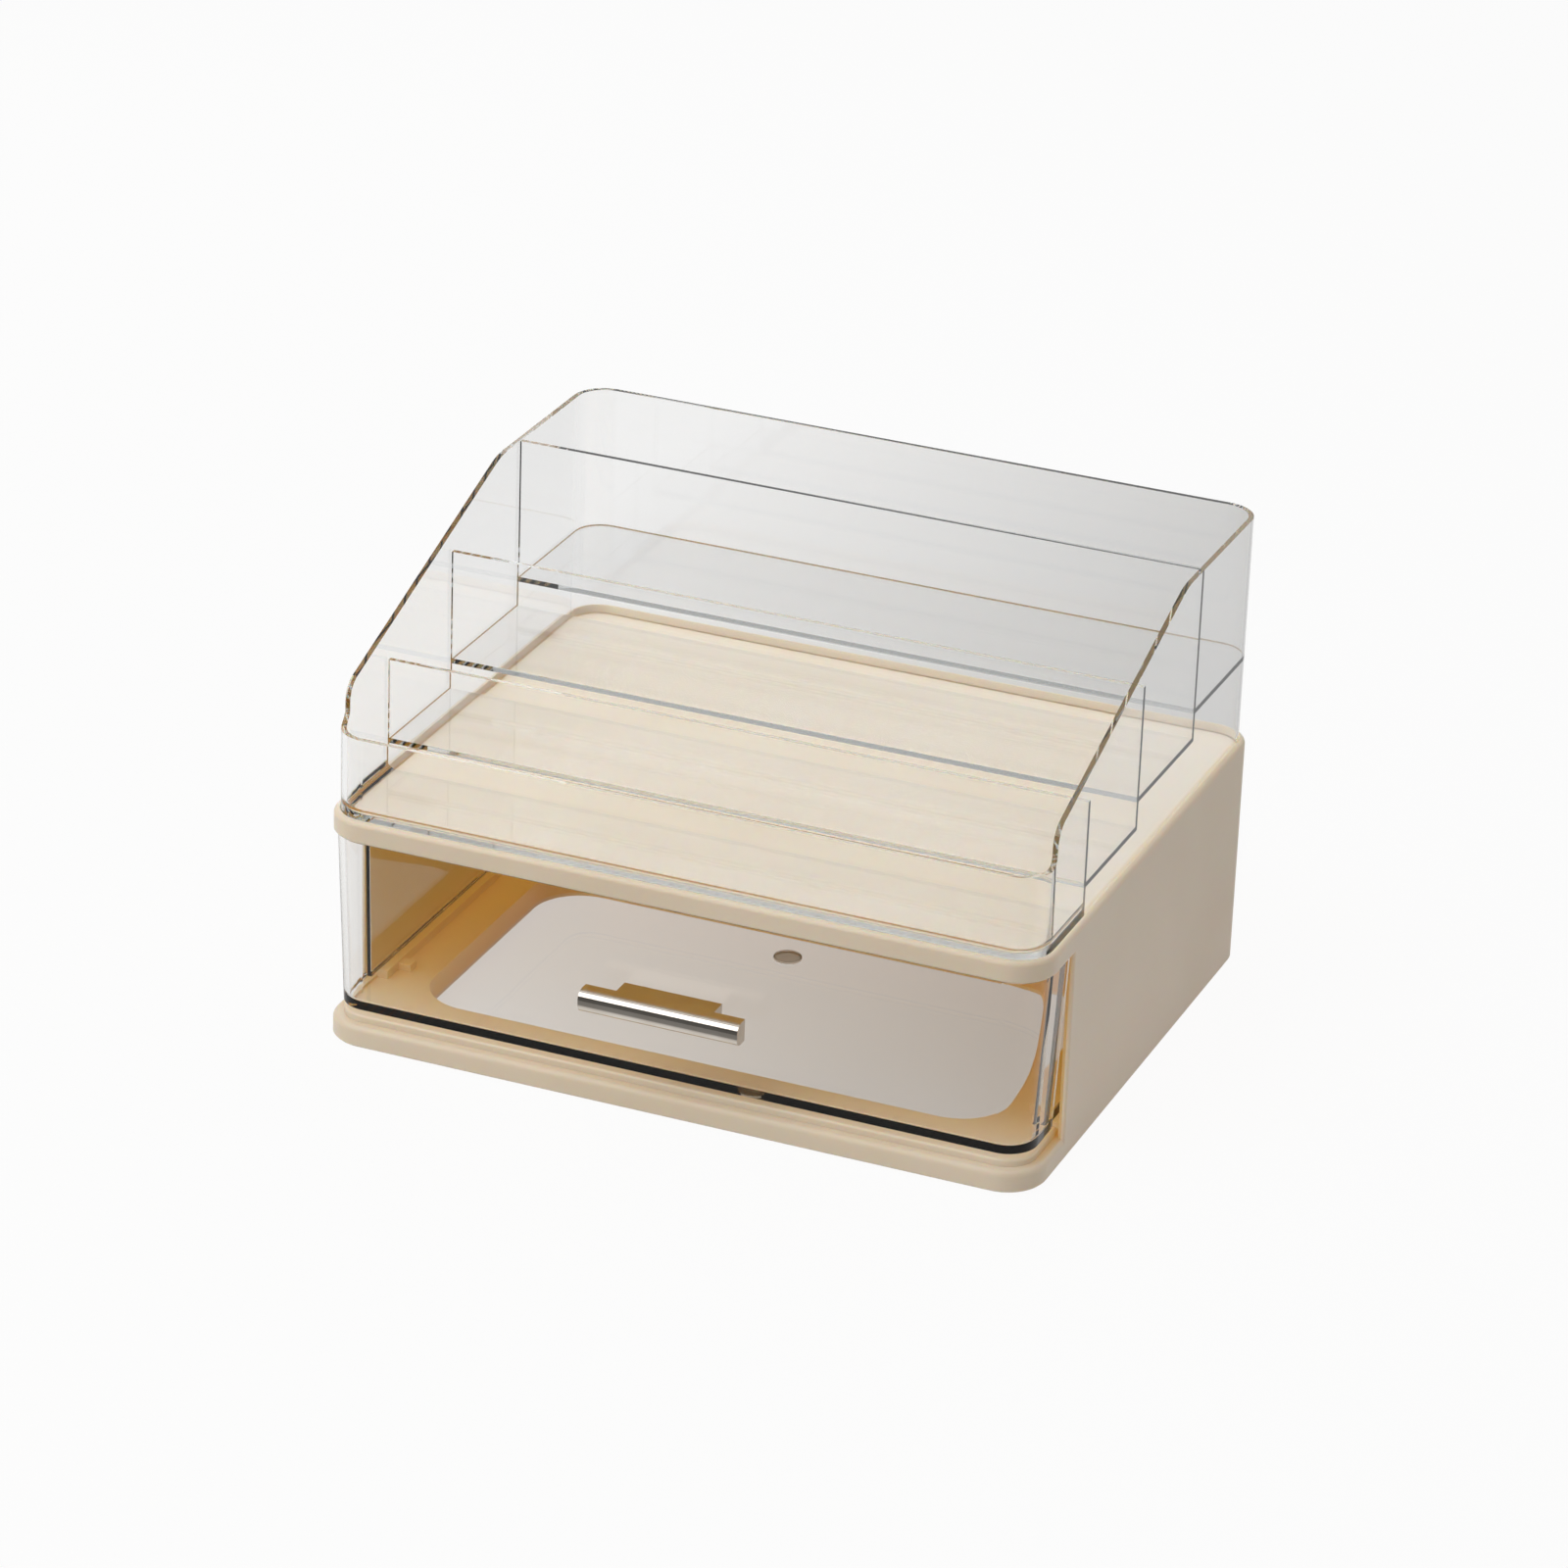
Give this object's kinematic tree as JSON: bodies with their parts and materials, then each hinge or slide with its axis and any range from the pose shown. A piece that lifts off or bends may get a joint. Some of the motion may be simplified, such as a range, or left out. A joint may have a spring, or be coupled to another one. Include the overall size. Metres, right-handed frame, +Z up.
{
  "type": "vanity organizer",
  "caption": "Desktop vanity organizer: a cream moulded cabinet with a clear pull-out drawer and a plated bar handle, under a clear lift-off rack whose bays step up to the rear.",
  "frame": {"origin": "on the table, under the middle of the overall width and depth, handle included", "axes": "+X to the right as seen from the front, +Y to the rear (the drawer opens along -Y), +Z up"},
  "size_m": [0.28, 0.2398, 0.182],
  "materials": {
    "cream_plastic": "satin gloss",
    "clear_plastic": "clear gloss",
    "plated_metal": "bright plated",
    "screw_steel": "zinc plated",
    "foot_rubber": "matt"
  },
  "bodies": {
    "cabinet": {"cabinet_shell": "cream_plastic", "foot_front_left": "foot_rubber", "foot_front_right": "foot_rubber", "foot_rear_left": "foot_rubber", "foot_rear_right": "foot_rubber"},
    "drawer": {"drawer_tray": "clear_plastic", "drawer_handle": "plated_metal", "handle_screws": "screw_steel"},
    "rack": {"stepped_rack": "clear_plastic"}
  },
  "joints": [
    {"name": "drawer_slide", "type": "slide", "parent": "cabinet", "child": "drawer", "axis": [0, -1, 0], "range_m": [0, 0.16]},
    {"name": "rack_lift", "type": "slide", "parent": "cabinet", "child": "rack", "axis": [0, 0, 1], "range_m": [0, 0.06]}
  ]
}
